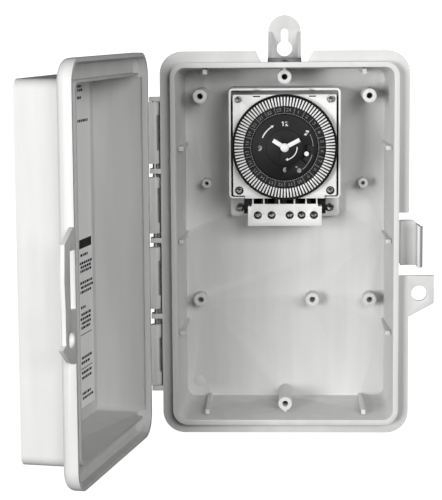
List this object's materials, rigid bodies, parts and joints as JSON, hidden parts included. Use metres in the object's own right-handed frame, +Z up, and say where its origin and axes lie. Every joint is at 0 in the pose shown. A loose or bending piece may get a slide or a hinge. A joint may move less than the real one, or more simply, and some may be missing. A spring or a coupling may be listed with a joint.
{
  "type": "din rail timer",
  "caption": "Dial time switch module with quarter-hour trippers, mounted in a grey plastic wall enclosure with a side-hinged, padlockable door.",
  "frame": {"origin": "centre of the enclosure back face, on the wall plane", "axes": "+X to the right and +Z up as seen from the front, front towards -Y, wall on +Y"},
  "size_m": [0.2529, 0.2408, 0.2749],
  "materials": {
    "shell": "satin moulded",
    "light": "smooth moulded",
    "dark": "fine matte moulded",
    "steel": "zinc plated",
    "dark_steel": "blackened",
    "brass": "plain",
    "label": "printed film"
  },
  "bodies": {
    "housing": {"enclosure": "shell", "hinge_pin": "steel", "adapter_base": "light", "ear_screws": "dark_steel", "terminal_body": "dark", "terminal_cover": "light", "terminal_clamps": "brass", "terminal_screws": "dark_steel", "contact_strips": "brass", "timer_housing": "dark", "face_plate": "light", "plate_screws": "dark_steel", "movement_plate": "brass", "bridge_plate": "brass", "plate_pillars": "steel", "centre_post": "steel", "face_disc": "dark", "motor": "steel", "motor_screws": "steel", "microswitch": "dark", "lever_pin": "steel"},
    "door": {"door": "shell", "door_label": "label"},
    "latch": {"latch_tongue": "shell"},
    "rail_clip": {"rail_clip": "light"},
    "dial": {"dial": "dark", "dial_wheel": "brass", "tripper_set": "light"},
    "hour": {"hour_wheel": "brass", "hour_pipe": "brass", "hour_hand": "light"},
    "minute": {"minute_arbor": "steel", "cannon_pinion": "brass", "minute_hand": "light", "hand_cap": "light"},
    "layshaft": {"lay_arbor": "steel", "minute_wheel": "brass", "lay_pinion_hour": "brass", "lay_pinion_dial": "brass"},
    "motor_output": {"motor_shaft": "steel", "motor_pinion": "brass"},
    "override": {"override_lever": "dark"},
    "plunger": {"switch_plunger": "light"},
    "lever": {"switch_lever": "steel"},
    "tripper_a": {"tripper_a": "light"},
    "tripper_b": {"tripper_b": "light"},
    "tripper_c": {"tripper_c": "light"},
    "tripper_d": {"tripper_d": "light"},
    "tripper_e": {"tripper_e": "light"},
    "tripper_f": {"tripper_f": "light"}
  },
  "joints": [
    {"name": "door_hinge", "type": "hinge", "parent": "housing", "child": "door", "pos_m": [-0.085, -0.0552, 0], "axis": [0, 0, -1], "range_deg": [-101, 34]},
    {"name": "latch_flex", "type": "hinge", "parent": "housing", "child": "latch", "pos_m": [0.0756, -0.052, 0], "axis": [0, 0, -1], "range_deg": [0, 7], "stiffness_Nm_per_rad": 0.6},
    {"name": "rail_clip_slide", "type": "slide", "parent": "housing", "child": "rail_clip", "axis": [0, 0, -1], "range_m": [0, 0.003], "stiffness_N_per_m": 400, "springref_m": -0.001},
    {"name": "dial_turn", "type": "hinge", "parent": "housing", "child": "dial", "pos_m": [0, -0.05, 0.0633], "axis": [0, 1, 0], "continuous": true},
    {"name": "hour_turn", "type": "hinge", "parent": "housing", "child": "hour", "pos_m": [0, -0.05, 0.0633], "axis": [0, 1, 0], "continuous": true},
    {"name": "minute_turn", "type": "hinge", "parent": "housing", "child": "minute", "pos_m": [0, -0.05, 0.0633], "axis": [0, 1, 0], "continuous": true},
    {"name": "layshaft_turn", "type": "hinge", "parent": "housing", "child": "layshaft", "pos_m": [-0.00849, -0.042, 0.05481], "axis": [0, 1, 0], "continuous": true},
    {"name": "motor_turn", "type": "hinge", "parent": "housing", "child": "motor_output", "pos_m": [0.00351, -0.04, 0.05481], "axis": [0, 1, 0], "continuous": true},
    {"name": "override_turn", "type": "hinge", "parent": "housing", "child": "override", "pos_m": [0, -0.0516, 0.0633], "axis": [0, 1, 0], "range_deg": [-13, 13]},
    {"name": "lever_turn", "type": "hinge", "parent": "housing", "child": "lever", "pos_m": [0.024, -0.0432, 0.0633], "axis": [0, 0, 1], "range_deg": [0, 8], "stiffness_Nm_per_rad": 0.01, "springref_deg": -2.86},
    {"name": "plunger_slide", "type": "slide", "parent": "housing", "child": "plunger", "axis": [0, 1, 0], "range_m": [0, 0.0008]},
    {"name": "tripper_a_slide", "type": "slide", "parent": "dial", "child": "tripper_a", "axis": [0.9659, 0, 0.2588], "range_m": [0, 0.001]},
    {"name": "tripper_b_slide", "type": "slide", "parent": "dial", "child": "tripper_b", "axis": [0.5, 0, 0.866], "range_m": [0, 0.001]},
    {"name": "tripper_c_slide", "type": "slide", "parent": "dial", "child": "tripper_c", "axis": [-0.2588, 0, 0.9659], "range_m": [0, 0.001]},
    {"name": "tripper_d_slide", "type": "slide", "parent": "dial", "child": "tripper_d", "axis": [-0.9659, 0, -0.2588], "range_m": [0, 0.001]},
    {"name": "tripper_e_slide", "type": "slide", "parent": "dial", "child": "tripper_e", "axis": [-0.5, 0, -0.866], "range_m": [0, 0.001]},
    {"name": "tripper_f_slide", "type": "slide", "parent": "dial", "child": "tripper_f", "axis": [0.866, 0, -0.5], "range_m": [0, 0.001]}
  ],
  "couplings": [
    {"joint": "hour_turn", "follows": "dial_turn", "ratio": 2},
    {"joint": "minute_turn", "follows": "dial_turn", "ratio": 24},
    {"joint": "layshaft_turn", "follows": "dial_turn", "ratio": -8},
    {"joint": "motor_turn", "follows": "dial_turn", "ratio": 24},
    {"joint": "plunger_slide", "follows": "lever_turn", "m_per_rad": 0.003}
  ]
}
